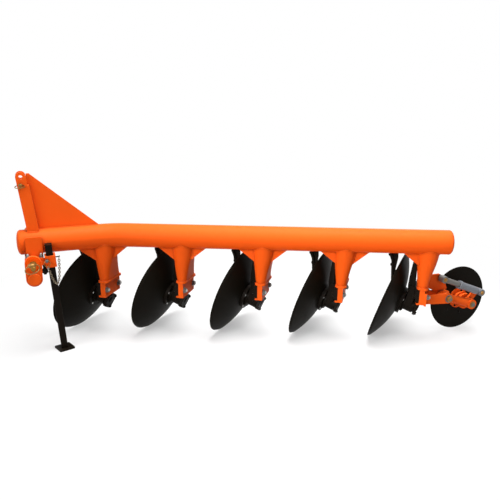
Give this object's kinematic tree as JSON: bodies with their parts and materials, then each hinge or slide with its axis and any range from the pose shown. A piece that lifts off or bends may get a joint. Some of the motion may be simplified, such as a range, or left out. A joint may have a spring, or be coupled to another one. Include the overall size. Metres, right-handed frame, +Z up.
{
  "type": "disc plough",
  "caption": "Mounted disc plough: tilted dished discs on flattened pipe standards under a bent pipe beam, with a three-point mast, a parking stand and a spring-strut rear furrow wheel.",
  "frame": {"origin": "on the floor, at the bottom centre of the parked machine's box", "axes": "+X the direction of travel, +Y the machine's left, +Z up"},
  "size_m": [3.1973, 1.5248, 1.198],
  "materials": {
    "orange_paint": "glossy",
    "black_paint": "semi-gloss",
    "silver_steel": "satin",
    "pin_steel": "satin"
  },
  "bodies": {
    "frame": {"beam_tube": "orange_paint", "front_cap": "orange_paint", "rear_cap": "orange_paint", "mast_bar_left": "orange_paint", "mast_bar_right": "orange_paint", "mast_spine": "orange_paint", "mast_rib": "orange_paint", "hitch_saddle": "orange_paint", "cross_shaft": "orange_paint", "shaft_clamp_left": "orange_paint", "crank_left": "orange_paint", "hitch_pin_left": "pin_steel", "shaft_clamp_right": "orange_paint", "crank_right": "orange_paint", "hitch_pin_right": "pin_steel", "stand_sleeve": "orange_paint", "shank_1": "orange_paint", "carrier_1": "black_paint", "scraper_1": "black_paint", "gussets_1": "orange_paint", "shank_2": "orange_paint", "carrier_2": "black_paint", "scraper_2": "black_paint", "gussets_2": "orange_paint", "shank_3": "orange_paint", "carrier_3": "black_paint", "scraper_3": "black_paint", "gussets_3": "orange_paint", "shank_4": "orange_paint", "carrier_4": "black_paint", "scraper_4": "black_paint", "gussets_4": "orange_paint", "shank_5": "orange_paint", "carrier_5": "black_paint", "scraper_5": "black_paint", "gussets_5": "orange_paint", "rear_bracket": "orange_paint", "rear_pivot_pin": "pin_steel", "strut_lug": "orange_paint", "strut_pin": "pin_steel"},
    "stand": {"stand_leg": "black_paint", "stand_foot": "black_paint"},
    "wheel_arm": {"wheel_arm": "orange_paint", "wheel_axle": "pin_steel", "lever_pin": "pin_steel"},
    "furrow_wheel": {"wheel_blade": "black_paint", "wheel_hub": "orange_paint"},
    "strut_barrel": {"strut_barrel": "silver_steel"},
    "strut_rod": {"strut_rod": "silver_steel"},
    "disc_1": {"disc_1": "black_paint", "hub_1": "black_paint"},
    "disc_2": {"disc_2": "black_paint", "hub_2": "black_paint"},
    "disc_3": {"disc_3": "black_paint", "hub_3": "black_paint"},
    "disc_4": {"disc_4": "black_paint", "hub_4": "black_paint"},
    "disc_5": {"disc_5": "black_paint", "hub_5": "black_paint"}
  },
  "joints": [
    {"name": "disc_1_spin", "type": "hinge", "parent": "frame", "child": "disc_1", "pos_m": [1.18013, -0.51121, 0.31385], "axis": [0.6607, -0.6841, 0.309], "continuous": true},
    {"name": "disc_2_spin", "type": "hinge", "parent": "frame", "child": "disc_2", "pos_m": [0.68213, -0.31722, 0.31385], "axis": [0.6607, -0.6841, 0.309], "continuous": true},
    {"name": "disc_3_spin", "type": "hinge", "parent": "frame", "child": "disc_3", "pos_m": [0.18819, -0.0869, 0.31385], "axis": [0.6607, -0.6841, 0.309], "continuous": true},
    {"name": "disc_4_spin", "type": "hinge", "parent": "frame", "child": "disc_4", "pos_m": [-0.30575, 0.14343, 0.31385], "axis": [0.6607, -0.6841, 0.309], "continuous": true},
    {"name": "disc_5_spin", "type": "hinge", "parent": "frame", "child": "disc_5", "pos_m": [-0.79968, 0.37376, 0.31385], "axis": [0.6607, -0.6841, 0.309], "continuous": true},
    {"name": "stand_slide", "type": "slide", "parent": "frame", "child": "stand", "axis": [0.0625, 0.0851, 0.9944], "range_m": [0, 0.4]},
    {"name": "arm_pivot", "type": "hinge", "parent": "frame", "child": "wheel_arm", "pos_m": [-1.12815, 0.5736, 0.31696], "axis": [0, 1, 0], "range_deg": [0, 14]},
    {"name": "furrow_wheel_spin", "type": "hinge", "parent": "wheel_arm", "child": "furrow_wheel", "pos_m": [-1.36215, 0.4506, 0.2365], "axis": [0, 1, 0], "continuous": true},
    {"name": "strut_pivot", "type": "hinge", "parent": "wheel_arm", "child": "strut_barrel", "pos_m": [-1.43715, 0.5846, 0.316], "axis": [0, 1, 0], "range_deg": [-3.24, 0.5]},
    {"name": "strut_stroke", "type": "slide", "parent": "strut_barrel", "child": "strut_rod", "axis": [0.9281, 0, 0.3722], "range_m": [-0.0312, 0.002]}
  ],
  "couplings": [
    {"joint": "strut_pivot", "follows": "arm_pivot", "ratio": -0.19548},
    {"joint": "strut_stroke", "follows": "arm_pivot", "m_per_rad": -0.11946}
  ]
}
